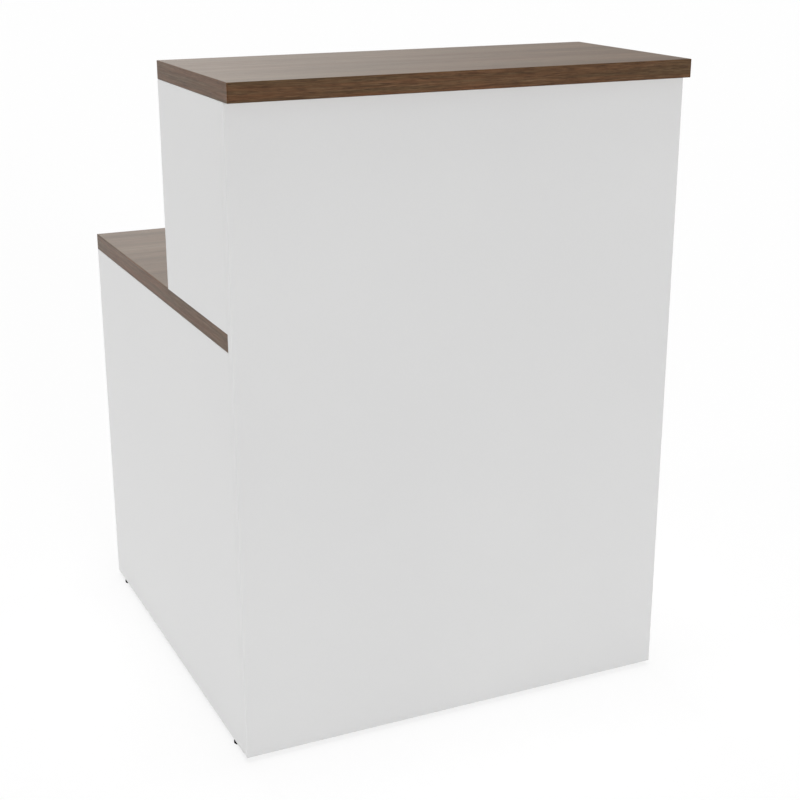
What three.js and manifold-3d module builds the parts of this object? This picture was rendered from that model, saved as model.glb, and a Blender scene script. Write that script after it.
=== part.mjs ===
// A narrow two-level reception desk: a full-height front panel, gables that carry a worktop, risers that stand on
// the worktop and carry a counter, edge bands round the two tops, cam fittings, dowels and levelling feet.
// Millimetres, +Z up. The origin is on the floor under the middle of the desk. The visitor stands at -Y and looks
// along +Y, with +X to the right; left and right are the visitor's.

import * as THREE from 'three';
import { mergeVertices } from 'three/addons/utils/BufferGeometryUtils.js';
import Module from 'manifold-3d';

// Boards
const WIDTH = 800;
const WORKTOP_HEIGHT = 740; // of the top face over the floor
const WORKTOP_DEPTH = 800; // behind the front panel
const WORKTOP_THICKNESS = 30;
const COUNTER_HEIGHT = 1122; // of the top face over the floor
const COUNTER_DEPTH = 350;
const COUNTER_THICKNESS = 30;
const COUNTER_OVERHANG = 20; // past the front panel's face
const FRONT_THICKNESS = 18;
const GABLE_THICKNESS = 18;
const RISER_THICKNESS = 18;
const BAND_THICKNESS = 2;

// Cam fittings: a cam in a board's inner face draws the head of a bolt that is screwed into the next board
const CAM_RADIUS = 7.5;
const CAM_PAST_AXIS = 4; // how far the cam reaches past the bolt's axis
const CAM_SETBACK = 34; // of the cam's axis from the joint
const CAM_SLOT_LENGTH = 9; // driver slot in the cam's face
const CAM_SLOT_WIDTH = 1.6;
const CAM_SLOT_DEPTH = 1.8;
const BOLT_HEAD_RADIUS = 3;
const BOLT_HEAD_LENGTH = 4;
const BOLT_NECK_RADIUS = 1.8;
const BOLT_SHANK_RADIUS = 3;
const BOLT_THREAD_RADIUS = 2.5;
const BOLT_THREAD_LENGTH = 11;
const BOLT_TIP = 1; // chamfer at the thread's end

// Where the fittings and dowels sit along the boards' edges, from the ends of each edge
const GABLE_TOP_INSET = 100;
const GABLE_FRONT_INSET = 100;
const RISER_TOP_INSET = 60;
const RISER_FOOT_INSET = 60;
const WORKTOP_FRONT_INSET = 200;

// Dowels
const DOWEL_RADIUS = 4;
const DOWEL_IN_FACE = 11; // length in the board that takes it in its face
const DOWEL_IN_EDGE = 21; // length in the board that takes it in its edge
const DOWEL_CHAMFER = 1;

// Levelling feet: a stud turns in a sleeve in the gable's lower edge, and a pad is clipped on under it
const FOOT_INSET = 50; // of a foot's axis from the gable's ends
const PAD_RADIUS = 8.5;
const PAD_HEIGHT = 5;
const PAD_CHAMFER = 0.4; // round the sole
const PAD_SHOULDER = 1; // chamfer round the top
const PAD_FLOOR = 1.2; // plastic under the stud
const KNOB_RADIUS = 2.4; // end of the stud that the pad is clipped on
const KNOB_HEIGHT = 1.8;
const KNOB_NECK_RADIUS = 1.8;
const COLLAR_RADIUS = 5; // hexagon, across its corners by half
const COLLAR_HEIGHT = 2.7;
const STUD_RADIUS = 3;
const STUD_SHOWN = 1; // thread between the collar and the gable
const STUD_PAST_SLEEVE = 8; // stud beyond the sleeve when it is screwed right in
const STUD_TOP_ROOM = 3; // bore left over the stud then
const SLEEVE_RADIUS = 5;
const SLEEVE_LENGTH = 25;

// Fits
const CLEARANCE = 0.3; // between a piece and the bore or socket that holds it

// Facets of the round pieces
const CAM_SIDES = 16;
const ROD_SIDES = 12;
const PAD_SIDES = 20;
const HEXAGON = 6;

// Levels and planes that follow from the driving dimensions
const FLOOR_GAP = PAD_HEIGHT + CLEARANCE + COLLAR_HEIGHT + STUD_SHOWN;
const WORKTOP_UNDER = WORKTOP_HEIGHT - WORKTOP_THICKNESS;
const COUNTER_UNDER = COUNTER_HEIGHT - COUNTER_THICKNESS;
const HALF_WIDTH = WIDTH / 2;
const HALF_DEPTH = (COUNTER_OVERHANG + FRONT_THICKNESS + WORKTOP_DEPTH) / 2;
const COUNTER_FRONT = -HALF_DEPTH;
const COUNTER_BACK = COUNTER_FRONT + COUNTER_DEPTH;
const PANEL_FRONT = COUNTER_FRONT + COUNTER_OVERHANG;
const PANEL_BACK = PANEL_FRONT + FRONT_THICKNESS;
const WORKTOP_BACK = HALF_DEPTH;
const SPAN = [-HALF_WIDTH, HALF_WIDTH];
const BAND_SPAN = [BAND_THICKNESS - HALF_WIDTH, HALF_WIDTH - BAND_THICKNESS];
const WORKTOP_LEVELS = [WORKTOP_UNDER, WORKTOP_HEIGHT];
const COUNTER_LEVELS = [COUNTER_UNDER, COUNTER_HEIGHT];

const X = new THREE.Vector3(1, 0, 0);
const UP = new THREE.Vector3(0, 0, 1);
const DOWN = new THREE.Vector3(0, 0, -1);
const TO_VISITOR = new THREE.Vector3(0, -1, 0);

const WHITE_BOARD = finish(0xdadada, 0.55, 0);
const WALNUT_BOARD = finish(0x6b5040, 0.4, 0);
const WALNUT_BAND = finish(0x5e4636, 0.45, 0);
const ZINC = finish(0xa9abad, 0.35, 0.9);
const STEEL = finish(0xb4b6b8, 0.3, 1);
const BLACK_PLASTIC = finish(0x1c1c1d, 0.6, 0);
const BEECH = finish(0xc8a77a, 0.7, 0);

const wasm = await Module();
wasm.setup();

const desk = new THREE.Group();
const bores = {}; // board name: the geometries that are cut out of it

function finish(color, roughness, metalness) {
  return new THREE.MeshStandardMaterial({ color, roughness, metalness });
}

// The closed solid of a geometry, for joining and cutting
function solidOf(geometry) {
  const bare = new THREE.BufferGeometry();
  bare.setAttribute('position', geometry.getAttribute('position'));
  bare.setIndex(geometry.getIndex());
  const merged = mergeVertices(bare);
  const mesh = new wasm.Mesh({
    numProp: 3,
    vertProperties: merged.getAttribute('position').array,
    triVerts: Uint32Array.from(merged.getIndex().array),
  });
  return new wasm.Manifold(mesh);
}

function geometryOf(solid) {
  const { vertProperties, triVerts } = solid.getMesh();
  const geometry = new THREE.BufferGeometry();
  geometry.setAttribute('position', new THREE.BufferAttribute(vertProperties, 3));
  geometry.setIndex(new THREE.BufferAttribute(triVerts, 1));
  return geometry;
}

function cut(geometry, cutters) {
  const solid = cutters.reduce((rest, cutter) => rest.subtract(solidOf(cutter)), solidOf(geometry));
  return geometryOf(solid);
}

function join(first, second) {
  return geometryOf(solidOf(first).add(solidOf(second)));
}

// A box from its spans along the three axes
function block([x0, x1], [y0, y1], [z0, z1]) {
  const box = new THREE.BoxGeometry(x1 - x0, y1 - y0, z1 - z0);
  return box.translate((x0 + x1) / 2, (y0 + y1) / 2, (z0 + z1) / 2);
}

// A prism round the Z axis between two levels
function rod(radius, [z0, z1], sides = ROD_SIDES) {
  const cylinder = new THREE.CylinderGeometry(radius, radius, z1 - z0, sides);
  return cylinder.rotateX(Math.PI / 2).translate(0, 0, (z0 + z1) / 2);
}

// A piece turned round the Z axis from [radius, level] pairs, from its bottom to its top
function turned(profile, sides = ROD_SIDES) {
  const points = profile.map(([radius, level]) => new THREE.Vector2(radius, level));
  return new THREE.LatheGeometry(points, sides).rotateX(Math.PI / 2);
}

// A frame with its origin at a point, its Z along one direction and its X along another
function placeAt(point, along, out) {
  const across = new THREE.Vector3().crossVectors(along, out);
  return new THREE.Matrix4().makeBasis(out, across, along).setPosition(...point);
}

function addPiece(name, geometry, material, place = new THREE.Matrix4()) {
  const mesh = new THREE.Mesh(geometry, material);
  mesh.name = name;
  mesh.applyMatrix4(place);
  desk.add(mesh);
}

function drill(board, geometry, place) {
  bores[board] = bores[board] ?? [];
  bores[board].push(geometry.applyMatrix4(place));
}

// A board with every bore that its fittings, dowels and feet have asked for
function addBoard(name, geometry, material) {
  addPiece(name, cut(geometry, bores[name] ?? []), material);
}

// A cam with its axis along X and its face at X = reach, round the origin: a bolt comes in along Z
function camShape(reach) {
  const body = rod(CAM_RADIUS, [-CAM_PAST_AXIS, reach], CAM_SIDES).rotateY(Math.PI / 2);
  const boltWay = rod(BOLT_HEAD_RADIUS + CLEARANCE, [-BOLT_HEAD_LENGTH / 2 - CLEARANCE, 2 * CAM_RADIUS]);
  const slotHalf = [CAM_SLOT_LENGTH / 2, CAM_SLOT_WIDTH / 2];
  const slotSpan = [reach - CAM_SLOT_DEPTH, reach + CLEARANCE];
  const slots = [slotHalf, slotHalf.toReversed()].map(
    ([y, z]) => block(slotSpan, [-y, y], [-z, z]),
  );
  return cut(body, [boltWay, ...slots]);
}

// A cam bolt along Z: its head lies at the cam's axis, and its thread starts at the joint, at Z = 0
function boltShape() {
  const headStart = -CAM_SETBACK - BOLT_HEAD_LENGTH / 2;
  const headEnd = headStart + BOLT_HEAD_LENGTH;
  const shankStart = CAM_RADIUS + CLEARANCE - CAM_SETBACK;
  return turned([
    [0, headStart],
    [BOLT_HEAD_RADIUS, headStart],
    [BOLT_HEAD_RADIUS, headEnd],
    [BOLT_NECK_RADIUS, headEnd],
    [BOLT_NECK_RADIUS, shankStart],
    [BOLT_SHANK_RADIUS, shankStart],
    [BOLT_SHANK_RADIUS, 0],
    [BOLT_THREAD_RADIUS, 0],
    [BOLT_THREAD_RADIUS, BOLT_THREAD_LENGTH - BOLT_TIP],
    [BOLT_THREAD_RADIUS - BOLT_TIP, BOLT_THREAD_LENGTH],
    [0, BOLT_THREAD_LENGTH],
  ]);
}

// One cam fitting, at a point of the joint on the holder's middle plane
function addFitting(name, holder, holderThickness, mate, point, intoMate, inward) {
  const place = placeAt(point, intoMate, inward);
  const camPlace = place.clone().multiply(new THREE.Matrix4().makeTranslation(0, 0, -CAM_SETBACK));
  const reach = holderThickness / 2;
  addPiece(`${name}_cam`, camShape(reach), ZINC, camPlace);
  addPiece(`${name}_bolt`, boltShape(), STEEL, place);

  const camSpan = [-CAM_PAST_AXIS - CLEARANCE, reach + CLEARANCE];
  drill(holder, rod(CAM_RADIUS + CLEARANCE, camSpan, CAM_SIDES).rotateY(Math.PI / 2), camPlace);
  const shankBore = Math.max(BOLT_SHANK_RADIUS, BOLT_HEAD_RADIUS) + CLEARANCE;
  const shankSpan = [-CAM_SETBACK - BOLT_HEAD_LENGTH / 2 - CLEARANCE, CLEARANCE];
  drill(holder, rod(shankBore, shankSpan), place);
  drill(mate, rod(BOLT_THREAD_RADIUS + CLEARANCE, [-CLEARANCE, BOLT_THREAD_LENGTH + CLEARANCE]), place);
}

// One dowel, at a point of the joint: its upper end, along Z, goes into the face of the mate
function addDowel(name, edgeBoard, faceBoard, point, intoFace) {
  const place = placeAt(point, intoFace, X);
  const shape = turned([
    [0, -DOWEL_IN_EDGE],
    [DOWEL_RADIUS - DOWEL_CHAMFER, -DOWEL_IN_EDGE],
    [DOWEL_RADIUS, DOWEL_CHAMFER - DOWEL_IN_EDGE],
    [DOWEL_RADIUS, DOWEL_IN_FACE - DOWEL_CHAMFER],
    [DOWEL_RADIUS - DOWEL_CHAMFER, DOWEL_IN_FACE],
    [0, DOWEL_IN_FACE],
  ]);
  addPiece(name, shape, BEECH, place);
  const boreRadius = DOWEL_RADIUS + CLEARANCE;
  drill(edgeBoard, rod(boreRadius, [-DOWEL_IN_EDGE - CLEARANCE, CLEARANCE]), place);
  drill(faceBoard, rod(boreRadius, [-CLEARANCE, DOWEL_IN_FACE + CLEARANCE]), place);
}

// The pad round the Z axis, standing on Z = 0, with the socket that clips on the stud's knob
function padShape() {
  const lipRadius = KNOB_NECK_RADIUS + CLEARANCE;
  const socketRadius = KNOB_RADIUS + CLEARANCE;
  const socketTop = PAD_FLOOR + KNOB_HEIGHT + 2 * CLEARANCE;
  return turned([
    [0, 0],
    [PAD_RADIUS - PAD_CHAMFER, 0],
    [PAD_RADIUS, PAD_CHAMFER],
    [PAD_RADIUS, PAD_HEIGHT - PAD_SHOULDER],
    [PAD_RADIUS - PAD_SHOULDER, PAD_HEIGHT],
    [lipRadius, PAD_HEIGHT],
    [lipRadius, socketTop],
    [socketRadius, socketTop],
    [socketRadius, PAD_FLOOR],
    [0, PAD_FLOOR],
  ], PAD_SIDES);
}

// The stud round the Z axis over the pad: knob, neck, hexagon collar and thread
function studShape() {
  const knobBottom = PAD_FLOOR + CLEARANCE;
  const knobTop = knobBottom + KNOB_HEIGHT;
  const collarBottom = PAD_HEIGHT + CLEARANCE;
  const collarTop = collarBottom + COLLAR_HEIGHT;
  const collarMiddle = (collarBottom + collarTop) / 2;
  const threadTop = collarTop + SLEEVE_LENGTH + STUD_PAST_SLEEVE;
  const spindle = turned([
    [0, knobBottom],
    [KNOB_RADIUS, knobBottom],
    [KNOB_RADIUS, knobTop],
    [KNOB_NECK_RADIUS, knobTop],
    [KNOB_NECK_RADIUS, collarMiddle],
    [STUD_RADIUS, collarMiddle],
    [STUD_RADIUS, threadTop],
    [0, threadTop],
  ]);
  return join(spindle, rod(COLLAR_RADIUS, [collarBottom, collarTop], HEXAGON));
}

// The sleeve round the Z axis, in the gable's lower edge
function sleeveShape() {
  const boreRadius = STUD_RADIUS + CLEARANCE;
  const top = FLOOR_GAP + SLEEVE_LENGTH;
  return turned([
    [boreRadius, FLOOR_GAP],
    [SLEEVE_RADIUS, FLOOR_GAP],
    [SLEEVE_RADIUS, top],
    [boreRadius, top],
    [boreRadius, FLOOR_GAP],
  ]);
}

function addFoot(name, gable, x, y) {
  const place = new THREE.Matrix4().makeTranslation(x, y, 0);
  addPiece(`${name}_foot_pad`, padShape(), BLACK_PLASTIC, place);
  addPiece(`${name}_foot_stud`, studShape(), STEEL, place);
  addPiece(`${name}_foot_sleeve`, sleeveShape(), ZINC, place);
  const boreTop = FLOOR_GAP + SLEEVE_LENGTH + STUD_PAST_SLEEVE + STUD_TOP_ROOM;
  drill(gable, rod(SLEEVE_RADIUS + CLEARANCE, [FLOOR_GAP - CLEARANCE, boreTop]), place);
}

// Feet, fittings, dowels and boards of one side of the desk: sign is -1 on the left and 1 on the right
function addSide(side, sign) {
  const gable = `${side}_gable`;
  const riser = `${side}_riser`;
  const inward = X.clone().multiplyScalar(-sign);
  const gableAxis = sign * (HALF_WIDTH - GABLE_THICKNESS / 2);
  const riserAxis = sign * (HALF_WIDTH - RISER_THICKNESS / 2);
  const gableEnds = { front: PANEL_BACK, back: WORKTOP_BACK };
  const riserEnds = { front: PANEL_BACK, back: COUNTER_BACK };
  const fromEnd = (ends, end, inset) => ends[end] + (end === 'front' ? inset : -inset);

  for (const end of ['front', 'back']) {
    addFoot(`${side}_${end}`, gable, gableAxis, fromEnd(gableEnds, end, FOOT_INSET));

    const gableTop = [gableAxis, fromEnd(gableEnds, end, GABLE_TOP_INSET), WORKTOP_UNDER];
    addFitting(`${gable}_worktop_${end}`, gable, GABLE_THICKNESS, 'worktop', gableTop, UP, inward);

    const riserTop = [riserAxis, fromEnd(riserEnds, end, RISER_TOP_INSET), COUNTER_UNDER];
    addFitting(`${riser}_counter_${end}`, riser, RISER_THICKNESS, 'counter_top', riserTop, UP, inward);

    const riserFoot = [riserAxis, fromEnd(riserEnds, end, RISER_FOOT_INSET), WORKTOP_HEIGHT];
    addDowel(`${riser}_dowel_${end}`, riser, 'worktop', riserFoot, DOWN);
  }

  const gableFrontLevels = { lower: FLOOR_GAP + GABLE_FRONT_INSET, upper: WORKTOP_UNDER - GABLE_FRONT_INSET };
  for (const [level, z] of Object.entries(gableFrontLevels)) {
    const point = [gableAxis, PANEL_BACK, z];
    addFitting(`${gable}_front_${level}`, gable, GABLE_THICKNESS, 'front_panel', point, TO_VISITOR, inward);
  }
  const riserMiddle = [riserAxis, PANEL_BACK, (WORKTOP_HEIGHT + COUNTER_UNDER) / 2];
  addFitting(`${riser}_front`, riser, RISER_THICKNESS, 'front_panel', riserMiddle, TO_VISITOR, inward);

  const worktopFront = [
    sign * (HALF_WIDTH - WORKTOP_FRONT_INSET),
    PANEL_BACK,
    WORKTOP_HEIGHT - WORKTOP_THICKNESS / 2,
  ];
  addDowel(`${side}_worktop_dowel`, 'worktop', 'front_panel', worktopFront, TO_VISITOR);

  const sideSpan = (thickness) => [sign * HALF_WIDTH, sign * (HALF_WIDTH - thickness)].sort((a, b) => a - b);
  const gableSolid = block(sideSpan(GABLE_THICKNESS), [PANEL_BACK, WORKTOP_BACK], [FLOOR_GAP, WORKTOP_UNDER]);
  addBoard(gable, gableSolid, WHITE_BOARD);
  const riserSolid = block(sideSpan(RISER_THICKNESS), [PANEL_BACK, COUNTER_BACK], [WORKTOP_HEIGHT, COUNTER_UNDER]);
  addBoard(riser, riserSolid, WHITE_BOARD);

  const bandSpan = sideSpan(BAND_THICKNESS);
  addPiece(`worktop_${side}_band`, block(bandSpan, [PANEL_BACK, WORKTOP_BACK], WORKTOP_LEVELS), WALNUT_BAND);
  addPiece(`counter_${side}_band`, block(bandSpan, [COUNTER_FRONT, COUNTER_BACK], COUNTER_LEVELS), WALNUT_BAND);
}

// The boards that run the full width, and the bands along their edges between the side bands
function addWideBoards() {
  addBoard('front_panel', block(SPAN, [PANEL_FRONT, PANEL_BACK], [FLOOR_GAP, COUNTER_UNDER]), WHITE_BOARD);

  const worktopCore = [PANEL_BACK, WORKTOP_BACK - BAND_THICKNESS];
  addBoard('worktop', block(BAND_SPAN, worktopCore, WORKTOP_LEVELS), WALNUT_BOARD);
  const worktopBand = block(BAND_SPAN, [worktopCore[1], WORKTOP_BACK], WORKTOP_LEVELS);
  addPiece('worktop_back_band', worktopBand, WALNUT_BAND);

  const counterCore = [COUNTER_FRONT + BAND_THICKNESS, COUNTER_BACK - BAND_THICKNESS];
  addBoard('counter_top', block(BAND_SPAN, counterCore, COUNTER_LEVELS), WALNUT_BOARD);
  const frontBand = block(BAND_SPAN, [COUNTER_FRONT, counterCore[0]], COUNTER_LEVELS);
  addPiece('counter_front_band', frontBand, WALNUT_BAND);
  const backBand = block(BAND_SPAN, [counterCore[1], COUNTER_BACK], COUNTER_LEVELS);
  addPiece('counter_back_band', backBand, WALNUT_BAND);
}

addSide('left', -1);
addSide('right', 1);
addWideBoards();

export default desk;
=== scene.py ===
"""Reception desk in white board and walnut foil: its visible pieces, their finishes, the light and the view.

Lengths are in millimetres until a mesh is made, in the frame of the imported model: the origin lies on the
floor under the middle of the desk, the visitor stands on the -Y side, +X is to the visitor's right and +Z
is up.
"""

import logging
import math
from dataclasses import dataclass, field
from enum import Enum
from functools import cached_property

import bpy
import numpy as np
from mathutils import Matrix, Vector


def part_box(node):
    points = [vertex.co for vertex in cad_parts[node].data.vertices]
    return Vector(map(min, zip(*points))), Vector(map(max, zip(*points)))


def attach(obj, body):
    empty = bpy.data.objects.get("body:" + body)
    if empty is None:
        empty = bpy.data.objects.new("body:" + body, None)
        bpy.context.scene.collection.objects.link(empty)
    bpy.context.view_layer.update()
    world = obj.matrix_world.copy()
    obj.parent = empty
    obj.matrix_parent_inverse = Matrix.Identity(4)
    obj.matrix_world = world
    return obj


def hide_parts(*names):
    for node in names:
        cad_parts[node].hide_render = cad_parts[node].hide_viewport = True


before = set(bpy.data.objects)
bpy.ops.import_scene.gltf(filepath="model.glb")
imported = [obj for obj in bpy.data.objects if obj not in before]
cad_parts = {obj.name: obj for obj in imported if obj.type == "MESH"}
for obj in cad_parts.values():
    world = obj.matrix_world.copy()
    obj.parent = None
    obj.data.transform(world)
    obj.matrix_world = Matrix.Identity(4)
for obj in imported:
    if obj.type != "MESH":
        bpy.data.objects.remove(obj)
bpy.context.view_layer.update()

LOG = logging.getLogger("reception_desk")
METRES = 0.001
FULL_TURN = 2.0 * math.pi
QUARTER_TURN = math.pi / 2.0
STILL = np.eye(3)
SMOOTH_UP_TO = math.radians(32.0)
WELDS_TO_MM = 1e4  # points are welded in cells of a tenth of a micrometre
SHIFT_WAY = (1.0, 0.7, 1.3)
DESK_BODY = "desk"

Array = np.ndarray
Triple = tuple[float, float, float]
Pair = tuple[float, float]
Color = Triple
Noise = tuple[Triple, float, float]
Material = bpy.types.Material
Socket = bpy.types.NodeSocket


class Side(Enum):
    """A side of the desk, as the visitor sees it, with the word that its pieces' names hold."""

    LEFT = "left"
    RIGHT = "right"
    FRONT = "front"
    BACK = "back"


LEFT_TO_RIGHT = (Side.LEFT, Side.RIGHT)
FRONT_TO_BACK = (Side.FRONT, Side.BACK)


class Axis(Enum):
    """A direction of the desk, with its place in a point's three numbers."""

    WIDTH = 0
    DEPTH = 1
    HEIGHT = 2

    @property
    def across(self) -> tuple[int, int]:
        """The other two directions, in the order that makes a right-handed set with this one last."""
        return (self.value + 1) % 3, (self.value + 2) % 3

    def spread(self, pair: Array, along: Array) -> Array:
        """Puts places across this direction and along it together into points.

        Args:
            pair: Places on the other two directions, two to a point.
            along: Places on this one, in a shape that fits.

        Returns:
            The points, in the pair's shape with three numbers to a point.
        """
        points = np.empty(pair.shape[:-1] + (3,))
        points[..., list(self.across)] = pair
        points[..., self.value] = along
        return points


def angles(sides: int) -> Array:
    """Gives even steps round a full turn, from 0."""
    return np.arange(sides) * (FULL_TURN / sides)


def grid_quads(rows: int, columns: int, wrapped: bool) -> Array:
    """Numbers the four corners of every cell of a grid of points.

    Args:
        rows: How many rows of points there are.
        columns: How many points there are in a row.
        wrapped: Whether the last column joins the first.

    Returns:
        An array of corner numbers, four to a cell, that run with the columns first and then the rows.
    """
    number = np.arange(rows * columns).reshape(rows, columns)
    ahead = np.roll(number, -1, axis=1)
    if not wrapped:
        number = number[:, :-1]
        ahead = ahead[:, :-1]
    cells = [number[:-1], ahead[:-1], ahead[1:], number[1:]]
    return np.stack(cells, axis=-1).reshape(-1, 4)


@dataclass
class Surface:
    """Points, four-cornered faces and end faces of a shell, in millimetres."""

    points: Array
    quads: Array
    caps: list[Array] = field(default_factory=list)

    @classmethod
    def tube(cls, rings: Array) -> "Surface":
        """Skins a row of rings and closes it with a flat face at each end.

        Args:
            rings: Points, as rings by points in a ring by 3.

        Returns:
            A closed surface.
        """
        rows, columns, _ = rings.shape
        low_end = np.arange(columns)[::-1]
        high_end = np.arange(columns) + (rows - 1) * columns
        return cls(rings.reshape(-1, 3), grid_quads(rows, columns, True), [low_end, high_end])

    def joined(self, other: "Surface") -> "Surface":
        """Puts two surfaces into one, with the second one's corner numbers moved past the first one's.

        Args:
            other: The surface that is added.

        Returns:
            One surface with the points and faces of both.
        """
        shift = len(self.points)
        points = np.concatenate([self.points, other.points])
        quads = np.concatenate([self.quads, other.quads + shift])
        return Surface(points, quads, self.caps + [cap + shift for cap in other.caps])

    def welded(self) -> "Surface":
        """Merges points that share a small cell, so that patches close to one shell.

        Returns:
            The surface with each place held by one point.
        """
        cells = np.round(self.points * WELDS_TO_MM).astype(np.int64)
        _, first, number = np.unique(cells, axis=0, return_index=True, return_inverse=True)
        number = number.reshape(-1)
        return Surface(self.points[first], number[self.quads], [number[cap] for cap in self.caps])

    def reversed(self) -> "Surface":
        """Returns the surface with every face turned to look the other way."""
        return Surface(self.points, self.quads[:, ::-1], [cap[::-1] for cap in self.caps])

    def placed(self, spot: Array, turn: Array = STILL) -> "Surface":
        """Turns every point by a 3 by 3 matrix and then moves it to a spot."""
        return Surface(self.points @ turn.T + spot, self.quads, self.caps)

    def mesh(self, name: str) -> bpy.types.Mesh:
        """Writes the surface into a mesh in metres, smooth over its small angles and crisp over the rest.

        Args:
            name: The mesh's name.

        Returns:
            The new mesh.
        """
        data = bpy.data.meshes.new(name)
        faces = self.quads.tolist() + [cap.tolist() for cap in self.caps]
        data.from_pydata((self.points * METRES).tolist(), [], faces)
        data.polygons.foreach_set("use_smooth", np.ones(len(data.polygons), dtype=bool))
        data.set_sharp_from_angle(angle=SMOOTH_UP_TO)
        data.update()
        return data


def round_surface(radius: Array, height: Array, sides: int) -> Surface:
    """Turns a profile about the Z axis, closed by a flat face at each end.

    A point is (radius cos angle, radius sin angle, height), where radius and height may change with the row,
    which goes along the profile, and with the column, which goes round the axis.

    Args:
        radius: Radii, as rows by columns, or rows by 1 where they are the same all round.
        height: Heights, shaped in the same way.
        sides: How many columns go round.

    Returns:
        A closed surface, whose faces look outwards where the profile goes upwards on the outside.
    """
    across, up, around = np.broadcast_arrays(radius, height, angles(sides)[None, :])
    rings = np.stack([across * np.cos(around), across * np.sin(around), up], axis=-1)
    return Surface.tube(rings)


def profile(*corners: Pair) -> tuple[Array, Array]:
    """Splits a turned profile's pairs of a radius and a height into a column of each."""
    table = np.array(corners, dtype=float)
    return table[:, :1], table[:, 1:]


@dataclass(frozen=True)
class Strip:
    """A straight strip glued on a board's edge, with its outer arrises rounded and the rest just broken."""

    low: Array
    high: Array
    along: Axis
    out: Axis
    looks_high: bool
    arris: float
    seam: float
    end_arris: float
    shoulder: float = 0.05
    least_radius: float = 0.01
    corner_steps: int = 4
    end_steps: int = 3

    def radii(self) -> Array:
        """Gives the section's corners their radii, larger on the side that looks out.

        Returns:
            The radii at high-high, low-high, low-low and high-low.
        """
        soft, crisp = self.arris, self.seam
        first = self.along.across[0] == self.out.value
        corners = [soft, crisp, crisp, soft] if first else [soft, soft, crisp, crisp]
        return np.array(corners if self.looks_high else corners[2:] + corners[:2])

    def section(self, inset: float) -> Array:
        """Gives the section's outline: a rectangle with a radius of its own at each corner.

        A corner's points lie at its centre plus radius times (cos, sin) over a quarter turn. A point stands
        a shoulder's length along the straight on either side, so that the flats stay flat in the light.

        Args:
            inset: How far the outline shrinks on every side.

        Returns:
            The outline's points, anticlockwise.
        """
        pair = list(self.along.across)
        sign = np.array([[1.0, 1.0], [-1.0, 1.0], [-1.0, -1.0], [1.0, -1.0]])
        radius = np.maximum(self.radii() - inset, self.least_radius)
        corner = np.where(sign > 0.0, self.high[pair] - inset, self.low[pair] + inset)
        centre = corner - sign * radius[:, None]
        share = np.linspace(0.0, 1.0, self.corner_steps + 1)
        angle = (np.arange(4)[:, None] + share[None, :]) * QUARTER_TURN
        arc = centre[:, None, :] + radius[:, None, None] * np.stack([np.cos(angle), np.sin(angle)], axis=-1)
        entry = np.stack([np.sin(angle[:, 0]), -np.cos(angle[:, 0])], axis=-1)
        leave = np.stack([-np.sin(angle[:, -1]), np.cos(angle[:, -1])], axis=-1)
        before = arc[:, 0] + self.shoulder * entry
        after = arc[:, -1] + self.shoulder * leave
        return np.concatenate([before[:, None], arc, after[:, None]], axis=1).reshape(-1, 2)

    def surface(self) -> Surface:
        """Carries the section along the strip and rounds the strip over at its two ends.

        At an end, station by station over a quarter turn, the outline shrinks by radius times (1 - sin)
        while the station moves in by radius times (1 - cos).

        Returns:
            A closed surface.
        """
        radius = self.end_arris
        past = radius + self.shoulder
        turn = np.linspace(0.0, QUARTER_TURN, self.end_steps + 1)
        shrink = np.concatenate([[past], radius * (1.0 - np.sin(turn)), [0.0]])
        travel = np.concatenate([[0.0], radius * (1.0 - np.cos(turn)), [past]])
        insets = np.concatenate([shrink, shrink[::-1]])
        ends = self.low[self.along.value] + travel, self.high[self.along.value] - travel
        stations = np.concatenate([ends[0], ends[1][::-1]])
        outlines = np.stack([self.section(float(inset)) for inset in insets])
        return Surface.tube(self.along.spread(outlines, stations[:, None]))


@dataclass(frozen=True)
class Bore:
    """A blind round hole in a board: the direction of its axis, the face it opens on and its sizes."""

    along: Axis
    opens_high: bool
    centre: Pair
    radius: float
    depth: float
    rim: float = 0.25
    margin: float = 0.7
    sides: int = 32

    @property
    def half(self) -> float:
        """Half the side of the square of facing that is worked around the hole."""
        return self.radius + self.margin

    def covers(self, pair: Array) -> Array:
        """Tells which places on the face lie in that square."""
        return np.all(np.abs(pair - self.centre) < self.half, axis=-1)

    def lines(self, axis: int) -> Array:
        """Gives the lines that this hole needs across a board's faces.

        The lines cut the square where the rays to the hole's corners meet its sides, which is at half times
        the tangent of the angle.

        Args:
            axis: The direction that the lines are counted along.

        Returns:
            Their places, or nothing along the hole's own axis.
        """
        if axis == self.along.value:
            return np.empty(0)
        middle = self.centre[self.along.across.index(axis)]
        rays = np.linspace(-math.pi / 4.0, math.pi / 4.0, self.sides // 4 + 1)
        return middle + self.half * np.tan(rays)

    def patch(self, face: float) -> Surface:
        """Fills the square around the hole with facing, and gives the hole its broken rim, wall and floor.

        Ring by ring: the square's edge, at half over the larger of |cos| and |sin|, then circles.

        Args:
            face: Where the face lies along the hole's axis.

        Returns:
            An open surface, whose outer edge meets the lines.
        """
        angle = angles(self.sides)
        cosine, sine = np.cos(angle), np.sin(angle)
        edge = self.half / np.maximum(np.abs(cosine), np.abs(sine))
        circles = [np.full(self.sides, self.radius + wider) for wider in (self.rim, 0.0, 0.0)]
        radius = np.stack([edge] + circles)
        into = -1.0 if self.opens_high else 1.0
        level = face + into * np.array([0.0, 0.0, self.rim, self.depth])
        pair = np.stack([self.centre[0] + radius * cosine, self.centre[1] + radius * sine], axis=-1)
        hole = Surface.tube(self.along.spread(pair, level[:, None]))
        hole.caps = hole.caps[1:]
        return hole if self.opens_high else hole.reversed()


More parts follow.
